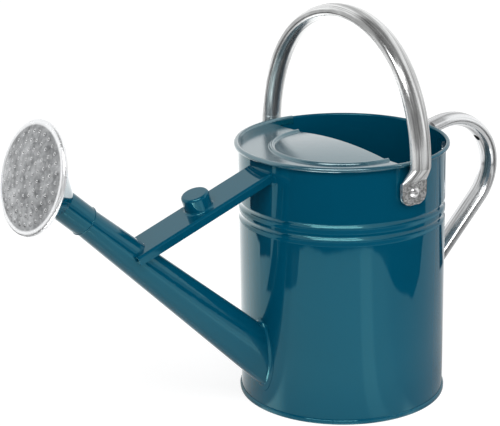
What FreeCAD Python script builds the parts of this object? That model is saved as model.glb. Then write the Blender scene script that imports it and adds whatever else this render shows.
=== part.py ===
import FreeCAD, Part
import math
import os
import Sketcher

# Sheet-steel watering can, about 4.5 litres.
# Frame: +X runs forward along the spout, +Z up, origin on the can's axis at the plane it stands on.
# Lengths are in millimetres and angles in degrees.

doc = FreeCAD.newDocument("WateringCan")

# ---------------------------------------------------------------- driving dimensions
SIZES = [
    # can wall, rim and foot
    ("wall_radius", "88.6", "outer radius of the rolled wall"),
    ("wall_gauge", "0.6", "sheet thickness of the wall, base and cover"),
    ("can_height", "224.6", "ground to the top of the rim"),
    ("rim_curl", "1.8", "outer radius of the curled rim's section"),
    ("rim_tuck", "50.0", "angle by which the rim's curl turns in below its widest point"),
    ("foot_curl", "1.3", "outer radius of the rolled foot seam's section"),
    ("foot_band", "1.8", "height of the straight band between the foot seam's two curls"),
    ("foot_press", "15.0", "half angle of the flat pressed along the foot's underside"),
    ("base_recess", "6.0", "height of the base plate above the ground"),
    ("base_bend", "1.5", "inside bend radius at the edge of the base plate"),
    ("groove_depth", "1.0", "depth of the swaged grooves round the wall"),
    ("groove_half", "4.2", "half the width of a swaged groove"),
    ("groove_blend", "3.2", "shoulder radius of a swaged groove"),
    ("groove_drop", "52.3", "upper groove below the top of the rim"),
    ("groove_pitch", "10.5", "distance between the two grooves"),
    # half cover
    ("cover_depth", "5.5", "top of the cover plate below the top of the rim"),
    ("cover_crown", "4.0", "rise of the cover's inner panel at its middle"),
    ("cover_sweep", "180.0", "angle covered by the cover plate"),
    ("bead_radius", "60.0", "radius of the cover's stiffening bead"),
    ("bead_half", "2.8", "half the width of the stiffening bead"),
    ("bead_height", "2.0", "height of the stiffening bead"),
    ("bead_blend", "1.1", "hollow radius at the edges of the stiffening bead"),
    ("flange_sweep", "200.0", "angle covered by the cover's upturned flange"),
    ("flange_tuck", "20.0", "angle by which the flange's lip turns in below the rim's widest point"),
    # spout
    ("spout_level", "50.95", "height where the spout's axis meets the wall"),
    ("spout_angle", "42.3", "rise of the spout's axis"),
    ("spout_taper", "227.0", "length of the tapered part from the wall"),
    ("spout_cope", "35.0", "how far the taper is drawn on inside the wall before it is coped"),
    ("spout_root_tall", "20.9", "half the height of the section at the wall, square to the axis"),
    ("spout_root_wide", "11.8", "half the width of the section at the wall"),
    ("spout_root_edge", "8.0", "radius of the upper and lower edges of the section at the wall"),
    ("spout_tip_radius", "11.6", "outer radius of the round tip"),
    ("spout_tip_length", "26.0", "length of the straight tip that takes the rose"),
    ("spout_gauge", "0.7", "sheet thickness of the spout, sleeve and peg"),
    ("saddle_reach", "3.6", "width of the flange turned out on the wall at the spout's root"),
    ("saddle_gauge", "0.4", "thickness of the flange and of the brace's ears"),
    ("saddle_fillet", "1.8", "radius of the soldered fillet at the spout's root"),
    # brace between spout and wall
    ("brace_drop", "10.6", "brace's top face at the wall below the top of the rim"),
    ("brace_slope", "18.5", "fall of the brace towards the spout"),
    ("brace_width", "32.3", "width over the brace's flanges"),
    ("brace_depth", "7.7", "depth of the brace's flanges"),
    ("brace_gauge", "1.0", "sheet thickness of the brace"),
    ("brace_bend", "2.0", "outside bend radius of the brace"),
    ("brace_cope", "10.0", "how far the brace is drawn on inside the wall before it is coped"),
    ("ear_radius", "4.4", "radius of the weld ears at the wall"),
    ("ear_drop", "5.8", "distance of the ears below the brace's top face"),
    # peg that stores the rose
    ("peg_radius", "11.6", "outer radius of the peg"),
    ("peg_height", "13.5", "height of the peg above the brace"),
    ("peg_place", "64.4", "distance of the peg from the wall along the brace"),
    ("peg_round", "2.2", "radius of the peg's top edge"),
    ("peg_foot", "1.8", "radius of the flare at the peg's foot"),
    # rose
    ("rose_depth", "32.4", "length of the rose from its neck to its rim plane"),
    ("rose_rise", "2.8", "offset of the rose's centre above the spout's axis"),
    ("rose_tilt", "17.4", "rise of the rose's own axis"),
    ("rose_radius", "44.6", "outer radius of the rose's rolled rim"),
    ("rose_bead", "2.3", "radius of the rolled rim's section"),
    ("rose_tuck", "100.0", "angle by which the rolled rim turns in behind its widest point"),
    ("rose_seam", "60.0", "angle on the rolled rim where the perforated face joins it"),
    ("rose_crown", "3.5", "rise of the perforated face at its middle"),
    ("rose_gauge", "0.6", "sheet thickness of the rose"),
    ("rose_lap", "4.0", "length of the rose's neck that laps over the sleeve"),
    ("rose_slip", "0.3", "gap round the sleeve in the rose's neck"),
    ("jet_radius", "0.75", "radius of each water hole"),
    ("jet_pitch", "7.1", "distance between rings of water holes"),
    ("sleeve_length", "32.0", "length of the rose's sleeve"),
    ("sleeve_seat", "1.0", "gap between the sleeve's mouth and the end of the taper"),
    # oval tube used for both handles
    ("tube_wide", "19.9", "width of the oval tube"),
    ("tube_thick", "12.2", "thickness of the oval tube"),
    ("tube_edge", "4.4", "radius of the oval tube's narrow sides"),
    ("tube_gauge", "1.2", "wall of the oval tube"),
    ("tab_wide", "26.2", "width of the flattened ends"),
    ("tab_thick", "3.0", "thickness of the flattened ends"),
    ("tab_edge", "1.2", "radius of the flattened ends' narrow sides"),
    ("tab_end", "10.6", "distance from a rivet to the end of its tab"),
    ("tab_corner", "9.0", "corner radius of a tab's end"),
    # top handle
    ("pivot_drop", "25.4", "top handle's pivots below the top of the rim"),
    ("bail_clear", "10.4", "distance of the arms' centre line outside the wall"),
    ("bail_leg", "21.5", "height of the arms from the pivots to the arch"),
    ("bail_rise", "103.7", "height of the arch's underside above the top of the rim"),
    ("bail_fullness", "1.0453", "share by which the arch's sides are straighter than an ellipse's"),
    ("bail_neck", "13.0", "length over which each arm flattens into its tab"),
    ("bail_lean", "1.2", "lean of the top handle towards the rear as it stands"),
    # rear handle
    ("grip_head", "8.3", "line of the upper run at the upper tab below the top of the rim"),
    ("grip_rise", "10.8", "rise of the upper run away from the wall"),
    ("grip_run", "22.8", "length of the upper run from the tab to the first bend"),
    ("grip_top_radius", "52.9", "radius of the rear handle's upper bend"),
    ("grip_top_turn", "65.2", "angle of the upper bend"),
    ("grip_low_radius", "43.4", "radius of the rear handle's lower bend"),
    ("grip_slope", "44.2", "fall of the lower run towards the wall"),
    ("grip_flat", "10.0", "length over which each end flattens, before and after its bend"),
    ("grip_drop", "8.0", "distance of each rivet below the start of its flat tab"),
    # rivets and washers
    ("rivet_radius", "2.9", "radius of the rivets' shanks"),
    ("rivet_head", "4.6", "radius of the rivets' heads"),
    ("rivet_dome", "2.4", "height of the rivets' heads"),
    ("rivet_back", "1.2", "thickness of the rivets' inner heads"),
    ("washer_radius", "7.5", "radius of the washers"),
    ("washer_gauge", "1.0", "thickness of the washers"),
    ("pivot_gap", "0.3", "play on each side of a pivoting tab"),
    ("pivot_fit", "0.1", "play round a pivot rivet"),
    ("wire_gap", "0.3", "gap round the wire inside the rim"),
    ("seat_gap", "0.05", "clearance between nested or seated pieces"),
]

sheet = doc.addObject("Spreadsheet::Sheet", "Sizes")
for row, (alias, value, note) in enumerate(SIZES, start=1):
    sheet.set("A%d" % row, alias)
    sheet.set("B%d" % row, value)
    sheet.setAlias("B%d" % row, alias)
    sheet.set("C%d" % row, note)
doc.recompute()


class Dim:
    """A size that carries both its number and the sheet expression it comes from."""

    def __init__(self, value, text):
        self.value = float(value)
        self.text = text

    def __add__(self, other):
        other = as_dim(other)
        return Dim(self.value + other.value, "(%s + %s)" % (self.text, other.text))

    def __sub__(self, other):
        other = as_dim(other)
        return Dim(self.value - other.value, "(%s - %s)" % (self.text, other.text))

    def __mul__(self, other):
        other = as_dim(other)
        return Dim(self.value * other.value, "(%s * %s)" % (self.text, other.text))

    def __truediv__(self, other):
        other = as_dim(other)
        return Dim(self.value / other.value, "(%s / %s)" % (self.text, other.text))

    def __neg__(self):
        return Dim(-self.value, "(0 - %s)" % self.text)

    __radd__ = __add__
    __rmul__ = __mul__


def as_dim(size):
    return size if isinstance(size, Dim) else Dim(size, repr(float(size)))


def dim(alias):
    return Dim(sheet.get(alias), "Sizes." + alias)


def sine(angle):
    return Dim(math.sin(math.radians(angle.value)), "sin(%s)" % angle.text)


def cosine(angle):
    return Dim(math.cos(math.radians(angle.value)), "cos(%s)" % angle.text)


def root(size):
    return Dim(math.sqrt(size.value), "sqrt(%s)" % size.text)


ZERO = as_dim(0)
SQUARE = as_dim(90)


def bind(thing, **properties):
    """Set properties to sizes and tie each one to the sheet."""
    for name, size in properties.items():
        size = as_dim(size)
        setattr(thing, name, size.value)
        thing.setExpression(name, size.text)


AXES = {"x": FreeCAD.Vector(1, 0, 0), "y": FreeCAD.Vector(0, 1, 0), "z": FreeCAD.Vector(0, 0, 1)}


def place(thing, x=0, y=0, z=0, about="y", turn=None, slot="Placement"):
    """Place an object, or a sketch by its attachment offset, with every number tied to the sheet."""
    where = [as_dim(x), as_dim(y), as_dim(z)]
    spin = as_dim(turn if turn is not None else 0)
    axis = AXES[about]
    base = FreeCAD.Vector(*[size.value for size in where])
    setattr(thing, slot, FreeCAD.Placement(base, FreeCAD.Rotation(axis, spin.value)))
    for letter, size in zip("xyz", where):
        thing.setExpression("%s.Base.%s" % (slot, letter), size.text)
    if turn is not None:
        thing.setExpression("%s.Rotation.Angle" % slot, spin.text)


# ---------------------------------------------------------------- sketches
def new_body(label):
    body = doc.addObject("PartDesign::Body", label)
    body.Label = label
    return body


def new_sketch(body, plane, name, **offset):
    """Sketch on one of the body's origin planes, moved by an attachment offset."""
    sketch = body.newObject("Sketcher::SketchObject", name)
    support = [part for part in body.Origin.OriginFeatures if part.Role == plane + "_Plane"][0]
    sketch.AttachmentSupport = [(support, "")]
    sketch.MapMode = "FlatFace"
    if offset:
        place(sketch, slot="AttachmentOffset", **offset)
    return sketch


def pin_point(sketch, geometry, position, x, y):
    """Fix a sketch point at sheet-driven coordinates."""
    for kind, size in (("DistanceX", x), ("DistanceY", y)):
        size = as_dim(size)
        index = sketch.addConstraint(Sketcher.Constraint(kind, -1, 1, geometry, position, size.value))
        sketch.setExpression("Constraints[%d]" % index, size.text)


def arc_between(start, end, radius):
    """Arc of less than half a turn; a positive radius turns left, a negative one right."""
    chord = end - start
    middle = (start + end) * 0.5
    left = FreeCAD.Vector(-chord.y, chord.x, 0).normalize()
    reach = math.sqrt(max(radius ** 2 - (chord.Length / 2) ** 2, 0.0))
    centre = middle + left * math.copysign(reach, radius)
    first, last = (start, end) if radius > 0 else (end, start)
    angles = [math.atan2(point.y - centre.y, point.x - centre.x) for point in (first, last)]
    circle = Part.Circle(centre, FreeCAD.Vector(0, 0, 1), abs(radius))
    return Part.ArcOfCircle(circle, angles[0], angles[1])


def outline(sketch, corners, bends=None, closed=True):
    """Run lines and arcs through sheet-driven corners; bends gives a side's signed arc radius."""
    bends = bends or {}
    points = [FreeCAD.Vector(as_dim(x).value, as_dim(y).value, 0) for x, y in corners]
    sides = len(points) if closed else len(points) - 1
    ends = []
    for side in range(sides):
        start = points[side]
        end = points[(side + 1) % len(points)]
        if side in bends:
            radius = as_dim(bends[side])
            geometry = sketch.addGeometry(arc_between(start, end, radius.value))
            ends.append((geometry, 1, 2) if radius.value > 0 else (geometry, 2, 1))
            size = radius if radius.value > 0 else -radius
            index = sketch.addConstraint(Sketcher.Constraint("Radius", geometry, size.value))
            sketch.setExpression("Constraints[%d]" % index, size.text)
        else:
            geometry = sketch.addGeometry(Part.LineSegment(start, end))
            ends.append((geometry, 1, 2))
    for side in range(sides):
        geometry, first, last = ends[side]
        pin_point(sketch, geometry, first, *corners[side])
        if side + 1 < sides or closed:
            following = ends[(side + 1) % sides]
            sketch.addConstraint(
                Sketcher.Constraint("Coincident", geometry, last, following[0], following[1]))
        else:
            pin_point(sketch, geometry, last, *corners[-1])
    return sketch


def circle_at(sketch, radius, x=0, y=0):
    radius = as_dim(radius)
    centre = FreeCAD.Vector(as_dim(x).value, as_dim(y).value, 0)
    geometry = sketch.addGeometry(Part.Circle(centre, FreeCAD.Vector(0, 0, 1), radius.value))
    pin_point(sketch, geometry, 3, x, y)
    index = sketch.addConstraint(Sketcher.Constraint("Radius", geometry, radius.value))
    sketch.setExpression("Constraints[%d]" % index, radius.text)


def oval(sketch, wide, thick, edge, x=0, y=0):
    """Four-arc oval, wide along the sketch's x, with narrow sides of radius edge."""
    half_wide = wide / 2
    half_thick = thick / 2
    face = (half_wide * half_wide - half_wide * edge * 2 + half_thick * half_thick) / (half_thick - edge) / 2
    across = (half_wide - edge) * face / (face - edge)
    along = (face - half_thick) * edge / (face - edge)
    x = as_dim(x)
    y = as_dim(y)
    corners = [(x + across, y - along), (x + across, y + along),
               (x - across, y + along), (x - across, y - along)]
    return outline(sketch, corners, {0: edge, 1: face, 2: edge, 3: face})


# ---------------------------------------------------------------- features
def revolve(body, sketch, name, sweep=360):
    """Turn a sketch about its vertical axis, half of the sweep to each side."""
    feature = body.newObject("PartDesign::Revolution", name)
    feature.Profile = sketch
    feature.ReferenceAxis = (sketch, ["V_Axis"])
    if isinstance(sweep, Dim):
        feature.Midplane = True
        bind(feature, Angle=sweep)
    else:
        feature.Midplane = sweep < 360
        feature.Angle = sweep
    sketch.Visibility = False
    return feature


def pad(body, sketch, name, length, centred=False):
    feature = body.newObject("PartDesign::Pad", name)
    feature.Profile = sketch
    feature.Midplane = centred
    bind(feature, Length=length)
    return feature


def pocket_both_ways(body, sketch, name):
    """Cut a sketch through everything on both sides of its plane."""
    feature = body.newObject("PartDesign::Pocket", name)
    feature.Profile = sketch
    feature.Midplane = True
    feature.Type = "ThroughAll"
    return feature


def loft(body, sketches, name, ruled=False):
    feature = body.newObject("PartDesign::AdditiveLoft", name)
    feature.Profile = sketches[0]
    feature.Sections = sketches[1:]
    feature.Ruled = ruled
    return feature


def sweep(body, profile, path, name, kind="AdditivePipe"):
    feature = body.newObject("PartDesign::" + kind, name)
    feature.Profile = profile
    feature.Spine = path
    return feature


def cylinder(name, radius, height, **where):
    solid = doc.addObject("Part::Cylinder", name)
    bind(solid, Radius=radius, Height=height)
    place(solid, **where)
    return solid


def combine(kind, name, first, second):
    """Part::Cut, Part::Fuse or Part::Common of two objects."""
    result = doc.addObject("Part::" + kind, name)
    result.Base = first
    result.Tool = second
    return result


class Path:
    """Corners and arc sides of an outline, collected in order."""

    def __init__(self, x, y):
        self.corners = [(as_dim(x), as_dim(y))]
        self.bends = {}

    def line(self, x, y):
        self.corners.append((as_dim(x), as_dim(y)))
        return self

    def arc(self, x, y, radius):
        self.bends[len(self.corners) - 1] = as_dim(radius)
        return self.line(x, y)

    def swage(self, level, place, half, height, shoulder, crown, upright, forward):
        """Three tangent arcs that step the side out by height and back again."""
        total = shoulder + crown
        along = half - half * shoulder / total
        step = level + height * shoulder / total
        turn = 1 if (height.value > 0) == (upright != forward) else -1
        ahead = 1 if forward else -1
        stops = [(-half * ahead, level), (-along * ahead, step), (along * ahead, step), (half * ahead, level)]
        radii = [None, shoulder * turn, crown * (-turn), shoulder * turn]
        for (offset, height_at), radius in zip(stops, radii):
            point = (height_at, place + offset) if upright else (place + offset, height_at)
            if radius is None:
                self.line(*point)
            else:
                self.arc(point[0], point[1], radius)
        return self

    def draw(self, sketch, closed=True):
        if closed:
            return outline(sketch, self.corners, self.bends)
        return outline(sketch, self.corners, self.bends, closed=False)


def arch_radius(half, height):
    """Radius of the arc that rises by height over a chord of twice half."""
    return (half * half + height * height) / height / 2


# ---------------------------------------------------------------- shared sizes
wall = dim("wall_radius")
gauge = dim("wall_gauge")
seat = dim("seat_gap")
wall_in = wall - gauge
curl = dim("rim_curl")
curl_in = curl - gauge
curl_x = wall_in + curl
curl_z = dim("can_height") - curl
foot = dim("foot_curl")
foot_z = foot * cosine(dim("foot_press"))
rivet_bore = dim("rivet_radius") + seat
pivot_z = dim("can_height") - dim("pivot_drop")
washer = dim("washer_radius")
thick = dim("tab_thick")
backing = root(wall_in * wall_in - washer * washer) - seat - dim("washer_gauge")
spout_turn = SQUARE - dim("spout_angle")
tip = dim("spout_tip_radius")
taper = dim("spout_taper")
brace_top = dim("can_height") - dim("brace_drop")
grip_top = dim("can_height") - dim("grip_head")

# rear handle's line: both ends turn down the wall at grip_x
flat = dim("grip_flat")
rise = dim("grip_rise")
grip_x = -(wall + seat + thick / 2)
fall = as_dim(180) - dim("grip_slope")
turned = rise - dim("grip_top_turn")
top_radius = dim("grip_top_radius")
low_radius = dim("grip_low_radius")
grip_top_x = grip_x - dim("grip_run") * cosine(rise)
grip_top_z = grip_top + dim("grip_run") * sine(rise)
grip_mid_x = grip_top_x + top_radius * (sine(turned) - sine(rise))
grip_mid_z = grip_top_z + top_radius * (cosine(turned) - cosine(rise))
grip_low_x = grip_mid_x - low_radius * (sine(fall) + sine(turned))
grip_low_z = grip_mid_z + low_radius * (cosine(fall) - cosine(turned))
grip_low_level = grip_low_z - (grip_x - grip_low_x) * sine(dim("grip_slope")) / cosine(dim("grip_slope"))
tab_top_upper = grip_top - flat
tab_top_lower = grip_low_level - flat
rivet_z_upper = tab_top_upper - dim("grip_drop")
rivet_z_lower = tab_top_lower - dim("grip_drop")


# ---------------------------------------------------------------- spout and its solids
def spout_solid(label, grow, overrun):
    """Taper and straight tip about the spout's axis, offset outwards by grow."""
    body = new_body(label)
    place(body, x=wall, z=dim("spout_level"), about="y", turn=spout_turn)
    back = dim("spout_cope")
    back_share = back / taper
    tall = dim("spout_root_tall") + (dim("spout_root_tall") - tip) * back_share + grow
    wide = dim("spout_root_wide") + (dim("spout_root_wide") - tip) * back_share + grow
    edge = dim("spout_root_edge") + grow
    start = new_sketch(body, "XY", label + "Root", z=-back)
    oval(start, tall * 2, wide * 2, edge)
    end = new_sketch(body, "XY", label + "Neck", z=taper)
    radius = tip + grow
    corner = radius * cosine(as_dim(45))
    ring = [(corner, -corner), (corner, corner), (-corner, corner), (-corner, -corner)]
    outline(end, ring, {0: radius, 1: radius, 2: radius, 3: radius})
    loft(body, [start, end], label + "Taper", ruled=True)
    nose = new_sketch(body, "XY", label + "TipSketch", z=taper)
    circle_at(nose, radius)
    pad(body, nose, label + "Tip", dim("spout_tip_length") + overrun)
    return body


spout_form = spout_solid("SpoutForm", ZERO, ZERO)
spout_bore = spout_solid("SpoutBore", -dim("spout_gauge"), as_dim(5))
spout_cope = spout_solid("SpoutCope", seat, ZERO)
spout_flare = spout_solid("SpoutFlare", dim("saddle_reach"), ZERO)

can_round = cylinder("CanRound", wall + seat, dim("can_height") * 1.2)
wrap_round = cylinder("WrapRound", wall + seat + dim("saddle_gauge"), dim("can_height"))
wall_wrap = combine("Cut", "WallWrap", wrap_round, can_round)

spout_tube = combine("Cut", "SpoutTube", spout_form, can_round)
saddle_patch = combine("Common", "SaddlePatch", wall_wrap, spout_flare)
spout_whole = combine("Fuse", "SpoutWhole", spout_tube, saddle_patch)
spout_open = combine("Cut", "SpoutOpen", spout_whole, spout_bore)
doc.recompute()

saddle_top = wall.value + seat.value + dim("saddle_gauge").value
form_shape = spout_form.Shape


def on_saddle_seam(edge):
    """True for the edges where the spout's taper leaves the flange on the wall."""
    for share in (0.3, 0.7):
        point = edge.valueAt(edge.FirstParameter + share * (edge.LastParameter - edge.FirstParameter))
        if abs(math.hypot(point.x, point.y) - saddle_top) > 0.01 or point.x < 0:
            return False
        if form_shape.distToShape(Part.Vertex(point))[0] > 0.01:
            return False
    return True


spout = new_body("spout")
spout.BaseFeature = spout_open
doc.recompute()
seam = ["Edge%d" % number for number, edge in enumerate(spout.Shape.Edges, start=1) if on_saddle_seam(edge)]
saddle = spout.newObject("PartDesign::Fillet", "SaddleFillet")
saddle.Base = (spout.Group[0], seam)
bind(saddle, Radius=dim("saddle_fillet"))

# ---------------------------------------------------------------- can
wall_body = new_body("WallSheet")
groove_arch = arch_radius(dim("groove_half"), dim("groove_depth"))
groove_shoulder = dim("groove_blend")
groove_crown = groove_arch - groove_shoulder
groove_upper = dim("can_height") - dim("groove_drop")
groove_lower = groove_upper - dim("groove_pitch")
tuck = dim("rim_tuck")
path = Path(wall, foot_z)
for level in (groove_lower, groove_upper):
    path.swage(wall, level, dim("groove_half"), -dim("groove_depth"), groove_shoulder, groove_crown,
               True, True)
path.line(wall, curl_z)
path.arc(curl_x, curl_z + curl_in, -curl_in)
path.arc(curl_x + curl_in * cosine(tuck), curl_z - curl_in * sine(tuck), -curl_in)
path.line(curl_x + curl * cosine(tuck), curl_z - curl * sine(tuck))
path.arc(curl_x, curl_z + curl, curl)
path.arc(wall_in, curl_z, curl)
for level in (groove_upper, groove_lower):
    path.swage(wall_in, level, dim("groove_half"), -dim("groove_depth"), groove_shoulder - gauge,
               groove_crown + gauge, True, False)
path.line(wall_in, foot_z)
wall_sketch = path.draw(new_sketch(wall_body, "XZ", "WallProfile"))
revolve(wall_body, wall_sketch, "WallTurn")

pivot_drill = cylinder("PivotDrill", rivet_bore, wall * 2.4, y=wall * -1.2, z=pivot_z,
                       about="x", turn=-SQUARE)
grip_drill_upper = cylinder("GripDrillUpper", rivet_bore, wall / 2, x=-(wall / 2), z=rivet_z_upper,
                            about="y", turn=-SQUARE)
grip_drill_lower = cylinder("GripDrillLower", rivet_bore, wall / 2, x=-(wall / 2), z=rivet_z_lower,
                            about="y", turn=-SQUARE)
wall_tools = doc.addObject("Part::MultiFuse", "WallTools")
wall_tools.Shapes = [spout_bore, pivot_drill, grip_drill_upper, grip_drill_lower]
body_shell = combine("Cut", "body_shell", wall_body, wall_tools)
body_shell.Label = "body_shell"

base_pan = new_body("base_pan")
foot_in = foot - gauge
skirt_out = wall_in - seat
skirt_in = skirt_out - gauge
foot_x = skirt_in + foot
foot_top = foot_z + dim("foot_band")
foot_press = foot * sine(dim("foot_press"))
bend = dim("base_bend")
base_z = dim("base_recess")
path = Path(ZERO, base_z)
path.line(skirt_in - bend, base_z)
path.arc(skirt_in, base_z - bend, -bend)
path.line(skirt_in, foot_z)
path.arc(foot_x - foot_press, ZERO, foot)
path.line(foot_x + foot_press, ZERO)
path.arc(foot_x + foot, foot_z, foot)
path.line(foot_x + foot, foot_top)
path.arc(foot_x, foot_top + foot, foot)
path.line(foot_x, foot_top + foot_in)
path.arc(foot_x + foot_in, foot_top, -foot_in)
path.line(foot_x + foot_in, foot_z)
path.arc(foot_x, foot_z - foot_in, -foot_in)
path.arc(skirt_out, foot_z, -foot_in)
path.line(skirt_out, base_z - bend)
path.arc(skirt_out - bend - gauge, base_z + gauge, bend + gauge)
path.line(ZERO, base_z + gauge)
base_sketch = path.draw(new_sketch(base_pan, "XZ", "BaseProfile"))
revolve(base_pan, base_sketch, "BaseTurn")

rim_wire = doc.addObject("Part::Torus", "rim_wire")
rim_wire.Label = "rim_wire"
bind(rim_wire, Radius1=curl_x, Radius2=curl_in - dim("wire_gap"))
place(rim_wire, z=curl_z)

# ---------------------------------------------------------------- half cover
top_cover = new_body("top_cover")
plate_z = dim("can_height") - dim("cover_depth")
hook_in = curl + seat
hook_out = hook_in + gauge
hook_tuck = dim("flange_tuck")
path = Path(skirt_out, plate_z - gauge)
path.line(skirt_out, curl_z)
path.arc(curl_x, curl_z + hook_in, -hook_in)
path.arc(curl_x + hook_in * cosine(hook_tuck), curl_z - hook_in * sine(hook_tuck), -hook_in)
path.line(curl_x + hook_out * cosine(hook_tuck), curl_z - hook_out * sine(hook_tuck))
path.arc(curl_x, curl_z + hook_out, hook_out)
path.arc(skirt_in, curl_z, hook_out)
path.line(skirt_in, plate_z - gauge)
flange_sketch = path.draw(new_sketch(top_cover, "XZ", "FlangeProfile"))
revolve(top_cover, flange_sketch, "FlangeTurn", dim("flange_sweep"))

bead_r = dim("bead_radius")
bead_half = dim("bead_half")
bead_blend = dim("bead_blend")
bead_crown = arch_radius(bead_half, dim("bead_height")) - bead_blend
panel = bead_r - bead_half
panel_arch = arch_radius(panel, dim("cover_crown"))
path = Path(ZERO, plate_z + dim("cover_crown"))
path.arc(panel, plate_z, -panel_arch)
path.corners.pop()
path.swage(plate_z, bead_r, bead_half, dim("bead_height"), bead_blend, bead_crown, False, True)
path.line(skirt_out, plate_z)
path.line(skirt_out, plate_z - gauge)
path.swage(plate_z - gauge, bead_r, bead_half, dim("bead_height"), bead_blend + gauge, bead_crown - gauge,
           False, False)
path.arc(ZERO, plate_z + dim("cover_crown") - gauge, panel_arch)
plate_sketch = path.draw(new_sketch(top_cover, "XZ", "PlateProfile"))
revolve(top_cover, plate_sketch, "PlateTurn", dim("cover_sweep"))

# ---------------------------------------------------------------- brace and peg
slope = dim("brace_slope")
channel = new_body("BraceChannel")
place(channel, x=wall, z=brace_top, about="y", turn=slope)
half = dim("brace_width") / 2
depth = dim("brace_depth")
metal = dim("brace_gauge")
outer = dim("brace_bend")
path = Path(-half, -depth)
path.line(-half, -outer)
path.arc(outer - half, ZERO, -outer)
path.line(half - outer, ZERO)
path.arc(half, -outer, -outer)
path.line(half, -depth)
path.line(half - metal, -depth)
path.line(half - metal, -outer)
path.arc(half - outer, -metal, outer - metal)
path.line(outer - half, -metal)
path.arc(metal - half, -outer, outer - metal)
path.line(metal - half, -depth)
channel_sketch = path.draw(new_sketch(channel, "YZ", "ChannelProfile", z=-dim("brace_cope")))
spout_climb = sine(dim("spout_angle")) / cosine(dim("spout_angle"))
brace_length = (brace_top - dim("spout_level")) / (sine(slope) + cosine(slope) * spout_climb)
pad(channel, channel_sketch, "ChannelRun", brace_length + dim("brace_cope"))
ear_z = brace_top - dim("ear_drop")
ear_left = cylinder("EarLeft", dim("ear_radius"), wall * 1.2, y=half, z=ear_z, about="y", turn=SQUARE)
ear_right = cylinder("EarRight", dim("ear_radius"), wall * 1.2, y=-half, z=ear_z, about="y", turn=SQUARE)
ear_rounds = combine("Fuse", "EarRounds", ear_left, ear_right)
ears = combine("Common", "Ears", wall_wrap, ear_rounds)
brace_tools = combine("Fuse", "BraceTools", can_round, spout_cope)
brace_run = combine("Cut", "BraceRun", channel, brace_tools)
brace = combine("Fuse", "brace", brace_run, ears)
brace.Label = "brace"

rose_peg = new_body("rose_peg")
peg_at = dim("peg_place")
place(rose_peg, x=wall + peg_at * cosine(slope), z=brace_top - peg_at * sine(slope), about="y", turn=slope)
peg = dim("peg_radius")
peg_top = dim("peg_height")
peg_round = dim("peg_round")
peg_foot = dim("peg_foot")
skin = dim("spout_gauge")
path = Path(peg - skin, ZERO)
path.line(peg + peg_foot, ZERO)
path.arc(peg, peg_foot, -peg_foot)
path.line(peg, peg_top - peg_round)
path.arc(peg - peg_round, peg_top, peg_round)
path.line(ZERO, peg_top)
path.line(ZERO, peg_top - skin)
path.line(peg - peg_round, peg_top - skin)
path.arc(peg - skin, peg_top - peg_round, -(peg_round - skin))
peg_sketch = path.draw(new_sketch(rose_peg, "XZ", "PegProfile"))
revolve(rose_peg, peg_sketch, "PegTurn")

# ---------------------------------------------------------------- rose
rose_sleeve = new_body("rose_sleeve")
place(rose_sleeve, x=wall, z=dim("spout_level"), about="y", turn=spout_turn)
sleeve_in = tip + seat
sleeve_out = sleeve_in + skin
sleeve_mouth = taper + dim("sleeve_seat")
sleeve_end = sleeve_mouth + dim("sleeve_length")
path = Path(sleeve_in, sleeve_mouth)
path.line(sleeve_out, sleeve_mouth)
path.line(sleeve_out, sleeve_end)
path.line(sleeve_in, sleeve_end)
sleeve_sketch = path.draw(new_sketch(rose_sleeve, "XZ", "SleeveProfile"))
revolve(rose_sleeve, sleeve_sketch, "SleeveTurn")

rose_back = new_body("rose_back")
place(rose_back, x=wall, z=dim("spout_level"), about="y", turn=spout_turn)
rose = dim("rose_radius")
lip = dim("rose_bead")
sheet_r = dim("rose_gauge")
rose_turn = dim("spout_angle") - dim("rose_tilt")
neck = sleeve_out + dim("rose_slip")
neck_at = sleeve_end - dim("rose_lap")
reach = neck_at + dim("rose_depth")
back_rim = rose - lip * 1.15
for kind, name, shrink in (("AdditiveLoft", "BackOuter", ZERO), ("SubtractiveLoft", "BackInner", sheet_r)):
    small = new_sketch(rose_back, "XY", name + "Neck", z=neck_at)
    circle_at(small, neck + sheet_r - shrink)
    large = new_sketch(rose_back, "XY", name + "Rim", x=-dim("rose_rise"), z=reach - lip * 0.15,
                       about="y", turn=rose_turn)
    circle_at(large, back_rim - shrink * 1.3)
    shell = rose_back.newObject("PartDesign::" + kind, name)
    shell.Profile = small
    shell.Sections = [large]
    shell.Ruled = True

rose_face = new_body("rose_face")
spout_rise = dim("spout_angle")
place(rose_face, x=wall + reach * cosine(spout_rise) - dim("rose_rise") * sine(spout_rise),
      z=dim("spout_level") + reach * sine(spout_rise) + dim("rose_rise") * cosine(spout_rise),
      about="y", turn=SQUARE - dim("rose_tilt"))
lip_x = rose - lip
lip_in = lip - sheet_r
join = dim("rose_seam")
join_x = lip_x - lip * cosine(join)
join_z = lip * sine(join)
under_z = join_z - sheet_r
under_x = lip_x - root(lip_in * lip_in - under_z * under_z)
rose_tuck = dim("rose_tuck")
face_arch = arch_radius(join_x, dim("rose_crown"))
path = Path(ZERO, join_z + dim("rose_crown") - sheet_r)
path.arc(under_x, under_z, -face_arch)
path.arc(lip_x, lip_in, -lip_in)
path.arc(lip_x + lip_in, ZERO, -lip_in)
path.arc(lip_x + lip_in * cosine(rose_tuck), -(lip_in * sine(rose_tuck)), -lip_in)
path.line(lip_x + lip * cosine(rose_tuck), -(lip * sine(rose_tuck)))
path.arc(lip_x + lip, ZERO, lip)
path.arc(lip_x, lip, lip)
path.arc(join_x, join_z, lip)
path.arc(ZERO, join_z + dim("rose_crown"), face_arch)
face_sketch = path.draw(new_sketch(rose_face, "XZ", "FaceProfile"))
revolve(rose_face, face_sketch, "FaceTurn")

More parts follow.
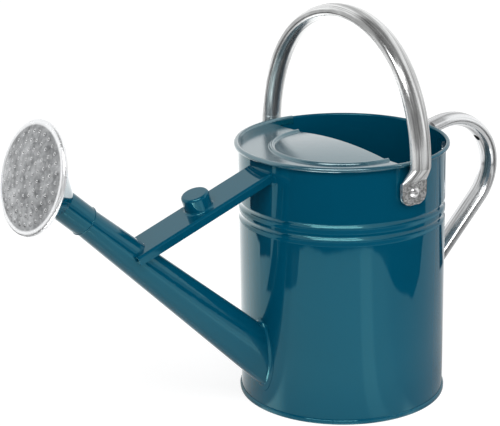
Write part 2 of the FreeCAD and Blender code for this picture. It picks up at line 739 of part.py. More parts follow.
jet = dim("jet_radius")
pitch = dim("jet_pitch")
centre_sketch = new_sketch(rose_face, "XY", "CentreJetSketch")
circle_at(centre_sketch, jet)
pocket_both_ways(rose_face, centre_sketch, "CentreJet")
for ring in range(1, 6):
    jet_sketch = new_sketch(rose_face, "XY", "JetSketch%d" % ring)
    circle_at(jet_sketch, jet, x=pitch * ring)
    seed = pocket_both_ways(rose_face, jet_sketch, "Jet%d" % ring)
    doc.recompute()
    pattern = rose_face.newObject("PartDesign::PolarPattern", "JetRing%d" % ring)
    pattern.Originals = [seed]
    pattern.Axis = (jet_sketch, ["N_Axis"])
    pattern.Angle = 360
    pattern.Occurrences = 6 * ring
    rose_face.Tip = pattern


# ---------------------------------------------------------------- handles
def tab_outline(sketch, middle, top, low, corner):
    """Flat tab with two rounded corners at its lower end."""
    side = dim("tab_wide") / 2
    shape = Path(middle - side, top)
    shape.line(middle - side, low + corner)
    shape.arc(middle - side + corner, low, corner)
    shape.line(middle + side - corner, low)
    shape.arc(middle + side, low + corner, corner)
    shape.line(middle + side, top)
    return shape.draw(sketch)


tube_wide = dim("tube_wide")
tube_thick = dim("tube_thick")
tube_edge = dim("tube_edge")
tube_gauge = dim("tube_gauge")
tab_wide = dim("tab_wide")
corner = dim("tab_corner")
middle_wide = (tube_wide + tab_wide) / 2
middle_thick = (tube_thick + thick) / 2
middle_edge = (tube_edge + dim("tab_edge")) / 2

bail = new_body("bail_handle")
lean = dim("bail_lean")
place(bail, x=pivot_z * sine(lean), z=pivot_z - pivot_z * cosine(lean), about="y", turn=-lean)
arm_y = wall + dim("bail_clear")
spring = pivot_z + dim("bail_leg")
rise_to = dim("can_height") + dim("bail_rise") + tube_thick / 2 - spring
side = dim("bail_fullness") * rise_to * rise_to / arm_y
crown = (side * side - (side - arm_y) * (side - arm_y) - rise_to * rise_to) / (side - rise_to) / 2
crown_z = spring + rise_to - crown
share = side / (side - crown)
meet_y = arm_y - side + (side - arm_y) * share
meet_z = spring + (crown_z - spring) * share
arch = Path(arm_y, spring)
arch.arc(meet_y, meet_z, side)
arch.arc(-meet_y, meet_z, crown)
arch.arc(-arm_y, spring, side)
arch_path = arch.draw(new_sketch(bail, "YZ", "ArchPath"), closed=False)
tube_sketch = oval(new_sketch(bail, "XY", "TubeSection", z=spring), tube_wide, tube_thick, tube_edge, y=arm_y)
sweep(bail, tube_sketch, arch_path, "Tube")
bore_sketch = oval(new_sketch(bail, "XY", "BoreSection", z=spring), tube_wide - tube_gauge * 2,
                   tube_thick - tube_gauge * 2, tube_edge - tube_gauge, y=arm_y)
sweep(bail, bore_sketch, arch_path, "TubeBore", kind="SubtractivePipe")
bail_tab_y = wall + seat + dim("washer_gauge") + dim("pivot_gap") + thick / 2
shoulder = spring - dim("bail_neck")
for sign, hand in ((1, "Left"), (-1, "Right")):
    sections = [
        oval(new_sketch(bail, "XY", "ArmTop" + hand, z=spring), tube_wide, tube_thick, tube_edge,
             y=arm_y * sign),
        oval(new_sketch(bail, "XY", "ArmMiddle" + hand, z=(spring + shoulder) / 2), middle_wide, middle_thick,
             middle_edge, y=(arm_y * 0.55 + bail_tab_y * 0.45) * sign),
        oval(new_sketch(bail, "XY", "ArmFoot" + hand, z=shoulder), tab_wide, thick, dim("tab_edge"),
             y=bail_tab_y * sign),
    ]
    loft(bail, sections, "Arm" + hand)
    tab_sketch = new_sketch(bail, "XZ", "TabSketch" + hand, z=-(bail_tab_y * sign))
    tab_outline(tab_sketch, ZERO, shoulder, pivot_z - dim("tab_end"), corner)
    pad(bail, tab_sketch, "Tab" + hand, thick, centred=True)
hole_sketch = new_sketch(bail, "XZ", "PivotSketch")
circle_at(hole_sketch, dim("rivet_radius") + dim("pivot_fit"), y=pivot_z)
pocket_both_ways(bail, hole_sketch, "PivotHoles")

grip = new_body("rear_handle")
run = Path(grip_x - flat * cosine(rise), grip_top + flat * sine(rise))
run.line(grip_top_x, grip_top_z)
run.arc(grip_mid_x, grip_mid_z, top_radius)
run.arc(grip_low_x, grip_low_z, low_radius)
slope_low = dim("grip_slope")
grip_end_x = grip_x - flat * cosine(slope_low)
grip_end_z = grip_low_level + flat * sine(slope_low)
run.line(grip_end_x, grip_end_z)
grip_path = run.draw(new_sketch(grip, "XZ", "GripPath"), closed=False)
grip_start = {"y": run.corners[0][1], "z": run.corners[0][0], "about": "x", "turn": rise}
grip_tube = oval(new_sketch(grip, "YZ", "GripSection", **grip_start), tube_wide, tube_thick, tube_edge)
sweep(grip, grip_tube, grip_path, "GripTube")
grip_bore = oval(new_sketch(grip, "YZ", "GripBoreSection", **grip_start), tube_wide - tube_gauge * 2,
                 tube_thick - tube_gauge * 2, tube_edge - tube_gauge)
sweep(grip, grip_bore, grip_path, "GripBore", kind="SubtractivePipe")
ends = (("Upper", run.corners[0], rise, grip_top, rivet_z_upper),
        ("Lower", run.corners[-1], slope_low, grip_low_level, rivet_z_lower))
for name, start, angle, level, rivet_z in ends:
    foot_z = level - flat
    middle_x = (start[0] + grip_x) / 2
    middle_z = (start[1] + level * 2 + foot_z) / 4
    sections = [
        oval(new_sketch(grip, "YZ", "EndTop" + name, y=start[1], z=start[0], about="x", turn=angle),
             tube_wide, tube_thick, tube_edge),
        oval(new_sketch(grip, "YZ", "EndMiddle" + name, y=middle_z, z=middle_x,
                        about="x", turn=(angle + SQUARE) / 2),
             middle_wide, middle_thick, middle_edge),
        oval(new_sketch(grip, "YZ", "EndFoot" + name, y=foot_z, z=grip_x, about="x", turn=SQUARE),
             tab_wide, thick, dim("tab_edge")),
    ]
    loft(grip, sections, "End" + name)
    tab_sketch = new_sketch(grip, "YZ", "GripTabSketch" + name, z=grip_x)
    tab_outline(tab_sketch, ZERO, foot_z, rivet_z - dim("tab_end"), corner)
    pad(grip, tab_sketch, "GripTab" + name, thick, centred=True)
    hole_sketch = new_sketch(grip, "XY", "GripHoleSketch" + name)
    hole_sketch.AttachmentSupport = tab_sketch.AttachmentSupport
    circle_at(hole_sketch, rivet_bore, y=rivet_z)
    hole = grip.newObject("PartDesign::Pocket", "GripHole" + name)
    hole.Profile = hole_sketch
    hole.Type = "ThroughAll"


# ---------------------------------------------------------------- rivets and washers
def rivet(label, stack, where):
    """Domed rivet; its shank starts at the inner washer's face and runs outwards."""
    body = new_body(label)
    place(body, **where)
    shank = dim("rivet_radius")
    head = dim("rivet_head")
    dome = dim("rivet_dome")
    shape = Path(ZERO, -dim("rivet_back"))
    shape.line(head, -dim("rivet_back"))
    shape.line(head, ZERO)
    shape.line(shank, ZERO)
    shape.line(shank, stack)
    shape.line(head, stack)
    shape.arc(ZERO, stack + dome, arch_radius(head, dome))
    revolve(body, shape.draw(new_sketch(body, "XZ", label + "_profile")), label + "_turn")


def washer_ring(label, start, where):
    """Flat washer; start is its distance from the shank's inner end."""
    body = new_body(label)
    place(body, **where)
    shape = Path(rivet_bore, start)
    shape.line(washer, start)
    shape.line(washer, start + dim("washer_gauge"))
    shape.line(rivet_bore, start + dim("washer_gauge"))
    revolve(body, shape.draw(new_sketch(body, "XZ", label + "_profile")), label + "_turn")


bail_stack = bail_tab_y + thick / 2 + dim("pivot_gap") - backing
grip_stack = thick / 2 - grip_x - backing
for sign, hand in ((1, "left"), (-1, "right")):
    where = {"y": backing * sign, "z": pivot_z, "about": "x", "turn": SQUARE * -sign}
    rivet("bail_rivet_" + hand, bail_stack, where)
    washer_ring("bail_washer_" + hand, ZERO, where)
    washer_ring("bail_spacer_" + hand, wall + seat - backing, where)
for name, rivet_z in (("upper", rivet_z_upper), ("lower", rivet_z_lower)):
    where = {"x": -backing, "z": rivet_z, "about": "y", "turn": -SQUARE}
    rivet("handle_rivet_" + name, grip_stack, where)
    washer_ring("handle_washer_" + name, ZERO, where)

doc.recompute()

# ---------------------------------------------------------------- check and export
NODES = [
    "body_shell", "base_pan", "rim_wire", "top_cover", "spout", "brace", "rose_peg",
    "rear_handle", "handle_rivet_upper", "handle_rivet_lower", "handle_washer_upper", "handle_washer_lower",
    "bail_handle", "bail_rivet_left", "bail_rivet_right", "bail_washer_left", "bail_washer_right",
    "bail_spacer_left", "bail_spacer_right", "rose_sleeve", "rose_back", "rose_face",
]
for item in doc.Objects:
    if "Invalid" in item.State or "Error" in item.State:
        raise RuntimeError("%s failed to compute" % item.Name)
    if hasattr(item, "Shape") and item.isDerivedFrom("PartDesign::Feature"):
        if item.Shape.isNull() or not item.Shape.isValid():
            raise RuntimeError("%s has a bad shape" % item.Name)
os.makedirs("parts", exist_ok=True)
for node in NODES:
    item = doc.getObjectsByLabel(node)[0]
    shape = item.Shape
    if shape.isNull() or not shape.isValid() or len(shape.Solids) != 1:
        raise RuntimeError("%s is not one valid solid" % node)
    shape.exportStep("parts/%s.step" % node)
    box = shape.BoundBox
    print("%-22s %8.2f cm3  x %.1f..%.1f  y %.1f..%.1f  z %.1f..%.1f" % (
        node, shape.Volume / 1000, box.XMin, box.XMax, box.YMin, box.YMax, box.ZMin, box.ZMax))
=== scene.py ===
import math

import bmesh
import bpy
from mathutils import Matrix, Vector


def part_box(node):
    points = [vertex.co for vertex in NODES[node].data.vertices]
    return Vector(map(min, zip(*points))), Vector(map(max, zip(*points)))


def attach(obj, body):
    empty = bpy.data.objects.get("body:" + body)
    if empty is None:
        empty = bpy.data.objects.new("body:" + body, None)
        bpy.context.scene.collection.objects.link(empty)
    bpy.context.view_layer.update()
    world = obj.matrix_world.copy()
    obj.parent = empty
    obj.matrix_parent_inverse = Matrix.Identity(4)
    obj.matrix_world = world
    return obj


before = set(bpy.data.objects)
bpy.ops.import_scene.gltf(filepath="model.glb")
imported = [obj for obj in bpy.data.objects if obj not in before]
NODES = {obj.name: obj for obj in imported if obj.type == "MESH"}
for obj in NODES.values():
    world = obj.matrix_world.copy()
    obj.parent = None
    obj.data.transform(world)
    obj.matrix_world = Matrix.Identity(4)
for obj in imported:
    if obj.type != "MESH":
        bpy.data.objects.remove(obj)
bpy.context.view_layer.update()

WHITE = (1.0, 1.0, 1.0, 1.0)

# ------------------------------------------------------------------ camera
AZIMUTH = math.radians(53.5)
ELEVATION = math.radians(17.736)
ROLL = math.radians(-0.88)
DISTANCE = 1.496
LENS = 124.93
SENSOR = 36
AIM_SIDE = 0.07905
AIM_HEIGHT = 0.1599


def add_camera():
    """Camera at the photograph's angle, aimed beside the can towards the spout."""
    back = Vector((math.cos(ELEVATION) * math.cos(AZIMUTH), math.cos(ELEVATION) * math.sin(AZIMUTH),
                   math.sin(ELEVATION)))
    right = Vector((-math.sin(AZIMUTH), math.cos(AZIMUTH), 0))
    up = back.cross(right)
    rolled_right = right * math.cos(ROLL) + up * math.sin(ROLL)
    rolled_up = up * math.cos(ROLL) - right * math.sin(ROLL)
    aim = -right * AIM_SIDE + Vector((0, 0, AIM_HEIGHT))
    data = bpy.data.cameras.new("Camera")
    data.lens = LENS
    data.sensor_width = SENSOR
    camera = bpy.data.objects.new("Camera", data)
    axes = Matrix((rolled_right, rolled_up, back)).transposed().to_4x4()
    camera.matrix_world = Matrix.Translation(aim + back * DISTANCE) @ axes
    bpy.context.scene.collection.objects.link(camera)
    bpy.context.scene.camera = camera


# ------------------------------------------------------------------ node helpers
class Graph:
    """Small helper round a node tree."""

    def __init__(self, tree):
        self.tree = tree
        self.tree.nodes.clear()

    def put(self, socket, value):
        """Link a socket to another one, or set its value."""
        if isinstance(value, bpy.types.NodeSocket):
            self.tree.links.new(value, socket)
        else:
            socket.default_value = value

    def add(self, kind, inputs=None, **settings):
        node = self.tree.nodes.new(kind)
        for name, value in settings.items():
            setattr(node, name, value)
        for name, value in (inputs or {}).items():
            self.put(node.inputs[name], value)
        return node

    def math(self, operation, first, second=0.0):
        return self.add("ShaderNodeMath", {0: first, 1: second}, operation=operation).outputs[0]

    def plus(self, first, second):
        return self.math("ADD", first, second)

    def minus(self, first, second):
        return self.math("SUBTRACT", first, second)

    def times(self, first, second):
        return self.math("MULTIPLY", first, second)

    def larger(self, first, second):
        return self.math("MAXIMUM", first, second)

    def length(self, first, second):
        """Length of a vector from its two square-on parts."""
        return self.math("SQRT", self.plus(self.times(first, first), self.times(second, second)))

    def vector(self, operation, first, second=(0.0, 0.0, 0.0)):
        node = self.add("ShaderNodeVectorMath", {0: first, 1: second}, operation=operation)
        return node.outputs["Value" if operation == "DOT_PRODUCT" else "Vector"]

    def noise(self, where, scale, detail=2.0, roughness=0.5):
        node = self.add("ShaderNodeTexNoise", {"Vector": where, "Scale": scale, "Detail": detail,
                                               "Roughness": roughness})
        return node.outputs["Fac"]

    def remap(self, value, low, high, to_low=0.0, to_high=1.0, smooth=False):
        kind = "SMOOTHSTEP" if smooth else "LINEAR"
        node = self.add("ShaderNodeMapRange", {"Value": value, "From Min": low, "From Max": high,
                                               "To Min": to_low, "To Max": to_high},
                        interpolation_type=kind)
        return node.outputs["Result"]

    def ease(self, value, low, high, to_low=0.0, to_high=1.0):
        """As remap, with a soft start and end."""
        return self.remap(value, low, high, to_low, to_high, smooth=True)

    def mix(self, factor, first, second):
        """Colour between two colours."""
        return self.add("ShaderNodeMix", {0: factor, 6: first, 7: second}, data_type="RGBA").outputs[2]

    def mix_shaders(self, factor, first, second):
        return self.add("ShaderNodeMixShader", {0: factor, 1: first.outputs[0], 2: second.outputs[0]})

    def add_shaders(self, first, second):
        return self.add("ShaderNodeAddShader", {0: first.outputs[0], 1: second.outputs[0]})

    def split(self, where):
        return self.add("ShaderNodeSeparateXYZ", {"Vector": where}).outputs

    def position(self):
        return self.add("ShaderNodeNewGeometry").outputs["Position"]

    def object_space(self):
        return self.add("ShaderNodeTexCoord").outputs["Object"]

    def bump(self, height, strength, distance):
        inputs = {"Height": height, "Strength": strength, "Distance": distance}
        return self.add("ShaderNodeBump", inputs).outputs["Normal"]

    def surface(self, shader):
        self.add("ShaderNodeOutputMaterial", {"Surface": shader.outputs[0]})


def new_material(name):
    material = bpy.data.materials.new(name)
    material.use_nodes = True
    return material, Graph(material.node_tree)


def grey(level):
    return (level, level, level, 1.0)


def scaled(colour, factor):
    return tuple(channel * factor for channel in colour[:3]) + (1.0,)


# ------------------------------------------------------------------ enamel
TEAL = (0.0, 0.060, 0.112, 1.0)
COVER_TEAL = (0.0, 0.067, 0.107, 1.0)
GLOSS_TINT = (0.36, 1.0, 1.0, 1.0)
ENAMEL_IOR = 1.6
CLOUD_LOW, CLOUD_HIGH = 0.95, 1.05
PEEL_DEPTH = 0.012
SAG_DEPTH = 0.12
SAG_STRETCH = (1.0, 1.0, 0.35)
LACQUER_ROUGHNESS = 0.20
LACQUER_IOR = 2.0


def paint(name, colour=TEAL, low=0.025, high=0.055, lacquer=0.0):
    """Stoved gloss enamel: deep even colour, faint orange peel, and roughness from low to high."""
    material, graph = new_material(name)
    where = graph.object_space()
    cloud = graph.noise(where, scale=7.0, detail=3.0, roughness=0.55)
    tone = graph.mix(graph.remap(cloud, 0.3, 0.7), scaled(colour, CLOUD_LOW), scaled(colour, CLOUD_HIGH))
    peel = graph.noise(where, scale=380.0)
    sag = graph.noise(graph.vector("MULTIPLY", where, SAG_STRETCH), scale=48.0, detail=1.0, roughness=0.4)
    height = graph.plus(graph.times(peel, PEEL_DEPTH), graph.times(sag, SAG_DEPTH))
    handling = graph.noise(where, scale=31.0, detail=4.0, roughness=0.6)
    graph.surface(graph.add("ShaderNodeBsdfPrincipled", {
        "Base Color": tone, "Roughness": graph.remap(handling, 0.3, 0.8, low, high), "IOR": ENAMEL_IOR,
        "Specular Tint": GLOSS_TINT, "Normal": graph.bump(height, strength=0.5, distance=0.0004),
        "Coat Weight": lacquer, "Coat Roughness": LACQUER_ROUGHNESS, "Coat IOR": LACQUER_IOR}))
    return material


# ------------------------------------------------------------------ zinc plate
BRIGHT_ZINC = (0.80, 0.81, 0.82, 1.0)
BAIL_ZINC = (0.92, 0.93, 0.93, 1.0)
ALL_WAYS = (1.0, 1.0, 1.0)
FINE_SHARE = 0.45
STREAK_DARK, STREAK_LIGHT = 0.30, 1.04
HAZE_SHARE, HAZE_LIGHT = 0.30, 1.12
PIT_DARK = 0.45
WAVE_DEPTH, STREAK_DEPTH, PIT_DEPTH = 0.5, 0.10, 0.9
STREAK_ROUGHNESS = 0.05
# heights between which the top handle's tube turns into its flat, hammered tabs
TAB_TOP = 0.213
TAB_FULL = 0.206


def plated(name, colour=BRIGHT_ZINC, low=0.14, high=0.24, draw=ALL_WAYS, tabs=None, metal=0.88):
    """Bright zinc plate: satin, with draw lines along the tube, haze and, on the tabs, a hammered face.

    The roughness runs from low to high; draw is small along the direction of the draw lines.
    """
    material, graph = new_material(name)
    where = graph.object_space()
    drawn = graph.vector("MULTIPLY", where, draw)
    fine = graph.noise(drawn, scale=900.0, detail=3.0, roughness=0.6)
    broad = graph.noise(drawn, scale=210.0)
    haze = graph.noise(where, scale=22.0, detail=4.0, roughness=0.6)
    waves = graph.noise(where, scale=38.0)
    streak = graph.plus(graph.times(fine, FINE_SHARE), graph.times(broad, 1 - FINE_SHARE))
    dark, light = scaled(colour, STREAK_DARK), scaled(colour, STREAK_LIGHT)
    tone = graph.mix(graph.ease(streak, 0.36, 0.60), dark, light)
    tone = graph.mix(graph.remap(haze, 0.35, 0.75, 0.0, HAZE_SHARE), tone, scaled(colour, HAZE_LIGHT))
    rough = graph.plus(graph.remap(haze, 0.35, 0.7, low, high), graph.times(fine, STREAK_ROUGHNESS))
    height = graph.plus(graph.times(waves, WAVE_DEPTH), graph.times(streak, STREAK_DEPTH))
    if tabs is not None:
        flat = graph.ease(graph.split(where)["Z"], *tabs)
        pits = graph.noise(where, scale=520.0, detail=3.0, roughness=0.65)
        hammered = graph.mix(graph.ease(pits, 0.38, 0.62), scaled(colour, PIT_DARK), colour)
        tone = graph.mix(flat, tone, hammered)
        height = graph.plus(height, graph.times(graph.times(pits, flat), PIT_DEPTH))
    graph.surface(graph.add("ShaderNodeBsdfPrincipled", {
        "Base Color": tone, "Metallic": metal, "Roughness": rough,
        "Normal": graph.bump(height, strength=0.4, distance=0.0009)}))
    return material


# ------------------------------------------------------------------ galvanised rose
# the middle of the rose's face and the direction down along it, with the can at rest
ROSE_MIDDLE = (0.30003, 0.0, 0.24712)
ROSE_DOWN = (0.299, 0.0, -0.954)
SIDEWAYS = (0.0, 1.0, 0.0)
JET_PITCH = 0.0071
JET_RINGS = 5.0
MORE_PER_RING = 6
# distances from a hole over which the painted highlight on its lip and its raised edge fade
LIP_START, LIP_END = 0.0010, 0.0014
RISE_START, RISE_END = 0.0008, 0.0022
# distances from the middle over which the painted highlight on the rolled rim comes in
RIM_START, RIM_FULL = 0.0395, 0.0412
MOTTLE_DARK = (0.08, 0.085, 0.09, 1.0)
MOTTLE_LIGHT = (0.42, 0.43, 0.44, 1.0)
# painted highlight colour for the raised lips round the holes and for the rolled rim
LIP_AND_RIM_HIGHLIGHT = (0.92, 0.93, 0.94, 1.0)
SPANGLE_SHARE = 0.20
MOTTLE_DEPTH, SPANGLE_DEPTH, LIP_DEPTH = 0.8, 0.2, 1.6
ROSE_SMOOTHEST, ROSE_DULLEST = 0.22, 0.38
ROSE_METAL = 0.75


def pressed_holes(graph, where):
    """Distances from the nearest water hole and from the middle: each ring has six more holes."""
    out = graph.vector("SUBTRACT", where, ROSE_MIDDLE)
    down = graph.vector("DOT_PRODUCT", out, ROSE_DOWN)
    aside = graph.vector("DOT_PRODUCT", out, SIDEWAYS)
    far = graph.length(down, aside)
    ring = graph.math("MINIMUM", graph.math("ROUND", graph.math("DIVIDE", far, JET_PITCH)), JET_RINGS)
    holes_per_radian = graph.times(ring, MORE_PER_RING / (2 * math.pi))
    step = graph.times(graph.math("ARCTAN2", aside, down), holes_per_radian)
    spacing = JET_PITCH * 2 * math.pi / MORE_PER_RING
    along = graph.times(graph.minus(step, graph.math("ROUND", step)), spacing)
    across = graph.minus(far, graph.times(ring, JET_PITCH))
    return graph.length(along, across), far


def galvanised(name):
    """Hot-dipped zinc, mottled grey spangle; painted highlight on each hole's pressed-up lip and on the
    rolled rim.
    """
    material, graph = new_material(name)
    where = graph.object_space()
    cells = graph.add("ShaderNodeTexVoronoi", {"Vector": where, "Scale": 330.0, "Randomness": 1.0})
    spangle = graph.add("ShaderNodeSeparateColor", {"Color": cells.outputs["Color"]}).outputs["Red"]
    mottle = graph.noise(where, scale=75.0, detail=5.0, roughness=0.75)
    gap, far = pressed_holes(graph, where)
    lip = graph.ease(gap, LIP_START, LIP_END, 1.0, 0.0)
    rim = graph.ease(far, RIM_START, RIM_FULL)
    tone = graph.mix(graph.remap(mottle, 0.36, 0.66), MOTTLE_DARK, MOTTLE_LIGHT)
    tone = graph.mix(graph.times(spangle, SPANGLE_SHARE), tone, BRIGHT_ZINC)
    # painted highlight: the lips round the holes and the rolled rim are mixed towards bright zinc
    tone = graph.mix(graph.larger(lip, rim), tone, LIP_AND_RIM_HIGHLIGHT)
    dull = graph.noise(where, scale=120.0, detail=3.0, roughness=0.6)
    rough = graph.remap(dull, 0.3, 0.7, ROSE_SMOOTHEST, ROSE_DULLEST)
    height = graph.plus(graph.times(mottle, MOTTLE_DEPTH), graph.times(spangle, SPANGLE_DEPTH))
    height = graph.plus(height, graph.ease(gap, RISE_START, RISE_END, LIP_DEPTH, 0.0))
    graph.surface(graph.add("ShaderNodeBsdfPrincipled", {
        "Base Color": tone, "Metallic": ROSE_METAL, "Roughness": rough,
        "Normal": graph.bump(height, strength=0.5, distance=0.0005)}))
    return material


# ------------------------------------------------------------------ studio
# levels that glossy surfaces see, where 1 is white
SURROUND_LEVEL = 1.0
ROOM_LEVEL = 0.15
GAP_LEVEL = 0.03
# degrees from the camera's heading over which the dim room gives way to the white surround
ROOM_EDGE, SURROUND_EDGE = 66, 84
# upward share of a direction over which the surround turns into the dim ceiling
CEILING_EDGE, CEILING_FULL, CEILING_SHARE = 0.80, 0.95, 0.1
# soft light on matt surfaces: strongest low down and from the lit heading
LIT_HEADING = math.radians(85)
SOFT_LOW, SOFT_HIGH = 1.08, 0.2
SOFT_AWAY, SOFT_TOWARD = 0.18, 1.15

# the white table's outline: heading in degrees, distance of its edge from the can's middle in metres
ENDLESS = 1.0
TABLE = [(-180, ENDLESS), (-66, ENDLESS), (-65, 0.61), (-42, 0.46), (-28, 0.475), (-27, ENDLESS),
         (-20, ENDLESS), (-19, 0.37), (5, 0.41), (7, 0.53), (17, 0.544), (35, 0.524), (65, 0.544),
         (80, 0.543), (92, 0.50), (106, 0.394), (127, 0.349), (138, 0.411), (149, 0.60), (151, ENDLESS),
         (180, ENDLESS)]
# an edge this far out counts as none
NEARLY_ENDLESS = (0.80, 0.85)
EDGE_BLUR = 0.008
EDGE_RAGGED = 0.02
# the table's straight side, seen between the spout and the brace
SIDE_POINT = (0.27, -0.188, 0.0)
SIDE_INWARD = (-0.15, -1.0, 0.0)
SIDE_BLUR = 0.004
SIDE_AWAY = (0.36, 0.37)
SIDE_HEADING = (math.radians(-19.5), math.radians(-19.0))
# how bright the table is, by heading: brightest on the can's right-hand side, with one brighter strip
# on its left
BRIGHTEST = 2.0
SWEEP = [(-180, 0.55), (-120, 1.50), (-60, 1.50), (-20, 0.78), (68, 0.78), (70, 1.14), (79, 1.14),
         (82, 0.78), (100, 0.72), (140, 0.58), (180, 0.55)]
# the can shades the table, most at its foot
FOOT_EDGE, SHADE_END, FOOT_SHADE = 0.09, 0.20, 0.72
# the pale studio floor beyond the dark gap round the table
FLOOR_START, FLOOR_FULL, FLOOR_SHARE = 0.90, 0.96, 0.85
# the part of the table top that is polished: its headings, and its distance from the can's middle
POLISH_START = (math.radians(-4), math.radians(1))
POLISH_END = (math.radians(92), math.radians(102))
POLISH_AWAY = (0.50, 0.54)
POLISH_ROUGHNESS = 0.12
# what the camera sees of the floor, and what the floor gives back as soft light
CAMERA_GLOW = 0.86
CAMERA_SHADE = 0.26
FLOOR_COLOUR = 0.72
FLOOR_REACH = 12.0
LAMP_AIM = Vector((0.05, 0, 0.15))


def ray_kinds(graph):
    """1 for rays that see the background, 0 for those that carry soft light; and 1 for camera rays alone."""
    path = graph.add("ShaderNodeLightPath").outputs
    seen = graph.larger(path["Is Camera Ray"], path["Is Glossy Ray"])
    return graph.larger(seen, path["Is Transmission Ray"]), path["Is Camera Ray"]


def by_heading(graph, heading, stops, top):
    """Value that changes with the heading round the can, given at a few headings in degrees."""
    node = graph.add("ShaderNodeFloatCurve", {"Value": graph.remap(heading, -math.pi, math.pi)})
    curve = node.mapping.curves[0]
    while len(curve.points) < len(stops):
        curve.points.new(0.5, 0.5)
    for point, (angle, value) in zip(curve.points, stops):
        point.location = ((angle + 180) / 360, value / top)
        point.handle_type = "VECTOR"
    node.mapping.update()
    return graph.times(node.outputs["Value"], top)


def add_world():
    """White surround behind the can; the room on the camera's side is dim, and so is the ceiling."""
    world = bpy.data.worlds.new("Studio")
    world.use_nodes = True
    bpy.context.scene.world = world
    graph = Graph(world.node_tree)
    seen, camera_ray = ray_kinds(graph)
    ray = graph.vector("NORMALIZE", graph.position())
    ahead = graph.vector("DOT_PRODUCT", ray, (math.cos(AZIMUTH), math.sin(AZIMUTH), 0.0))
    aside = graph.vector("DOT_PRODUCT", ray, (-math.sin(AZIMUTH), math.cos(AZIMUTH), 0.0))
    above = graph.split(ray)["Z"]
    turn = graph.times(graph.math("ARCTAN2", aside, ahead), math.degrees(1))
    level = graph.ease(graph.math("ABSOLUTE", turn), ROOM_EDGE, SURROUND_EDGE, ROOM_LEVEL, SURROUND_LEVEL)
    level = graph.times(level, graph.ease(above, CEILING_EDGE, CEILING_FULL, 1.0, CEILING_SHARE))
    strength = graph.add("ShaderNodeMix", {0: camera_ray, 2: level, 3: 1.0}, data_type="FLOAT").outputs[0]
    toward = graph.vector("DOT_PRODUCT", ray, (math.cos(LIT_HEADING), math.sin(LIT_HEADING), 0.0))
    soft_level = graph.times(graph.ease(above, 0.15, 0.9, SOFT_LOW, SOFT_HIGH),
                             graph.ease(toward, -0.9, 0.6, SOFT_AWAY, SOFT_TOWARD))
    soft = graph.add("ShaderNodeBackground", {"Color": WHITE, "Strength": soft_level})
    shown = graph.add("ShaderNodeBackground", {"Color": WHITE, "Strength": strength})
    both = graph.mix_shaders(seen, soft, shown)
    graph.add("ShaderNodeOutputWorld", {"Surface": both.outputs[0]})


def table_glow(graph, where, heading, away):
    """What glossy surfaces see below them: the lit table, the dark gap round it and the floor beyond."""
    edge = by_heading(graph, heading, TABLE, ENDLESS)
    ragged = graph.times(graph.minus(graph.noise(where, scale=30.0), 0.5), EDGE_RAGGED)
    inside = graph.minus(graph.plus(edge, ragged), away)
    lit = graph.ease(inside, -EDGE_BLUR, EDGE_BLUR)
    lit = graph.larger(lit, graph.remap(edge, *NEARLY_ENDLESS))
    side = graph.vector("DOT_PRODUCT", graph.vector("SUBTRACT", where, SIDE_POINT), SIDE_INWARD)
    keep = graph.ease(side, -SIDE_BLUR, SIDE_BLUR)
    keep = graph.larger(keep, graph.remap(away, *SIDE_AWAY, 1.0, 0.0))
    keep = graph.larger(keep, graph.remap(heading, *SIDE_HEADING))
    lit = graph.times(lit, keep)
    lit = graph.larger(lit, graph.ease(away, FLOOR_START, FLOOR_FULL, 0.0, FLOOR_SHARE))
    level = by_heading(graph, heading, SWEEP, BRIGHTEST)
    level = graph.times(level, graph.ease(away, FOOT_EDGE, SHADE_END, FOOT_SHADE, 1.0))
    return graph.plus(graph.times(lit, level), GAP_LEVEL)


def polished_top(graph, heading, away):
    """The polished table top mirrors the overhead soft box into whatever looks steeply down at it."""
    polish = graph.times(graph.ease(heading, *POLISH_START), graph.remap(heading, *POLISH_END, 1.0, 0.0))
    polish = graph.times(polish, graph.remap(away, *POLISH_AWAY, 1.0, 0.0))
    tone = graph.add("ShaderNodeCombineColor", {0: polish, 1: polish, 2: polish})
    return graph.add("ShaderNodeBsdfGlossy", {"Color": tone.outputs[0], "Roughness": POLISH_ROUGHNESS})


def add_floor():
    """Pale sweep: white to the camera, and a white table in a dim room to the glossy surfaces."""
    material, graph = new_material("PaleSweep")
    seen, camera_ray = ray_kinds(graph)
    where = graph.position()
    parts = graph.split(where)
    heading = graph.math("ARCTAN2", parts["Y"], parts["X"])
    away = graph.length(parts["X"], parts["Y"])
    glow = graph.add("ShaderNodeEmission",
                     {"Color": WHITE, "Strength": table_glow(graph, where, heading, away)})
    table = graph.add_shaders(glow, polished_top(graph, heading, away))
    white = graph.add("ShaderNodeEmission", {"Color": WHITE, "Strength": CAMERA_GLOW})
    shown = graph.add_shaders(white, graph.add("ShaderNodeBsdfDiffuse", {"Color": grey(CAMERA_SHADE)}))
    background = graph.mix_shaders(camera_ray, table, shown)
    bounce = graph.add("ShaderNodeBsdfDiffuse", {"Color": grey(FLOOR_COLOUR)})
    graph.surface(graph.mix_shaders(seen, bounce, background))
    mesh = bpy.data.meshes.new("Floor")
    corners = [(x * FLOOR_REACH, y * FLOOR_REACH, 0) for x, y in ((-1, -1), (1, -1), (1, 1), (-1, 1))]
    mesh.from_pydata(corners, [], [(0, 1, 2, 3)])
    mesh.materials.append(material)
    floor = bpy.data.objects.new("Floor", mesh)
    bpy.context.scene.collection.objects.link(floor)


def add_lamp(name, azimuth, elevation, distance, size, power, mirrored=False):
    """Soft rectangular lamp aimed at the can's middle; only a mirrored one shows in the gloss."""
    data = bpy.data.lights.new(name, "AREA")
    data.shape = "RECTANGLE"
    data.size, data.size_y = size
    data.energy = power
    lamp = bpy.data.objects.new(name, data)
    lamp.visible_glossy = mirrored
    turn, rise = math.radians(azimuth), math.radians(elevation)
    back = Vector((math.cos(rise) * math.cos(turn), math.cos(rise) * math.sin(turn), math.sin(rise)))
    lamp.location = LAMP_AIM + back * distance
    lamp.rotation_euler = back.to_track_quat("Z", "Y").to_euler()
    bpy.context.scene.collection.objects.link(lamp)


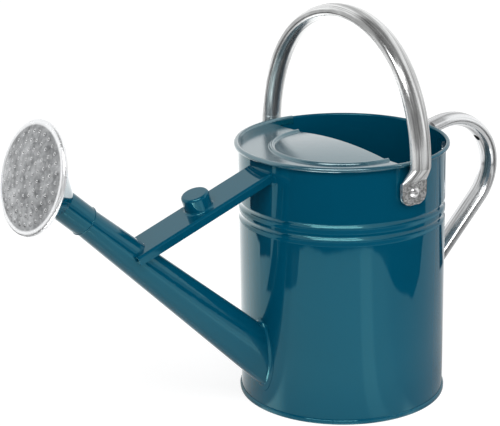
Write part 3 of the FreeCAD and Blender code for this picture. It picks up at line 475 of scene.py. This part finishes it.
# ------------------------------------------------------------------ rolled bead
SPOUT_TILT = math.radians(42.3)
BEAD_RADIUS = 0.00055
BEAD_SINK = 0.25
BEAD_STEPS = 96
BEAD_SIDES = 12


def add_sleeve_bead(material):
    """Rolled bead round the mouth of the rose's sleeve, where it meets the spout."""
    low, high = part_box("rose_sleeve")
    along = Vector((math.cos(SPOUT_TILT), 0, math.sin(SPOUT_TILT)))
    across = Vector((-math.sin(SPOUT_TILT), 0, math.cos(SPOUT_TILT)))
    radius = (high[1] - low[1]) / 2
    mouth = Vector((low[0] + radius * math.sin(SPOUT_TILT), 0, low[2] + radius * math.cos(SPOUT_TILT)))
    form = bmesh.new()
    rings = []
    for step in range(BEAD_STEPS):
        turn = 2 * math.pi * step / BEAD_STEPS
        outward = across * math.cos(turn) + Vector((0, math.sin(turn), 0))
        ring = []
        for part in range(BEAD_SIDES):
            roll = 2 * math.pi * part / BEAD_SIDES
            out = outward * (radius + BEAD_RADIUS * (math.cos(roll) - BEAD_SINK))
            ring.append(form.verts.new(mouth + (out + along * (BEAD_RADIUS * (1 + math.sin(roll))))))
        rings.append(ring)
    for step in range(BEAD_STEPS):
        here, there = rings[step], rings[(step + 1) % BEAD_STEPS]
        for part in range(BEAD_SIDES):
            other = (part + 1) % BEAD_SIDES
            form.faces.new((here[part], here[other], there[other], there[part]))
    bmesh.ops.recalc_face_normals(form, faces=form.faces)
    mesh = bpy.data.meshes.new("sleeve_bead")
    form.to_mesh(mesh)
    form.free()
    mesh.shade_smooth()
    mesh.materials.append(material)
    bead = bpy.data.objects.new("sleeve_bead", mesh)
    bpy.context.scene.collection.objects.link(bead)
    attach(bead, "sleeve")


# ------------------------------------------------------------------ finishes
PAINTED = ("body_shell", "base_pan", "spout", "brace", "rose_peg", "rose_sleeve", "rose_back")
FASTENERS = ("rivet", "washer", "spacer")


def finish_node(name, material):
    node = NODES[name]
    for slot in node.material_slots:
        slot.material = material
    if not node.material_slots:
        node.data.materials.append(material)


def finish_nodes():
    """Enamel on the sheet parts, zinc plate on handles and fasteners, galvanised face on the rose."""
    for name in PAINTED:
        finish_node(name, paint("Paint_" + name))
    finish_node("top_cover", paint("Paint_top_cover", colour=COVER_TEAL, low=0.16, high=0.22, lacquer=1.0))
    finish_node("bail_handle", plated("Plate_bail_handle", colour=BAIL_ZINC, draw=(1.0, 0.02, 0.02),
                                      tabs=(TAB_TOP, TAB_FULL), metal=0.85))
    finish_node("rear_handle", plated("Plate_rear_handle", draw=(0.02, 1.0, 0.02)))
    for name in NODES:
        if any(word in name for word in FASTENERS):
            finish_node(name, plated("Plate_" + name, colour=grey(0.9), draw=(0.4, 0.4, 0.4)))
    finish_node("rim_wire", plated("Wire", colour=grey(0.5), low=0.3, high=0.4))
    finish_node("rose_face", galvanised("Zinc"))


add_camera()
add_world()
add_floor()
add_lamp("KeyOverhead", azimuth=44.5, elevation=47, distance=3.0, size=(2.7, 1.1), power=58, mirrored=True)
add_lamp("FillRight", azimuth=130, elevation=25, distance=1.8, size=(0.7, 0.9), power=6)
add_lamp("Back", azimuth=238, elevation=24, distance=2.2, size=(2.4, 1.6), power=10)
finish_nodes()
add_sleeve_bead(paint("Paint_sleeve_bead"))

bpy.context.scene.view_settings.view_transform = "Standard"
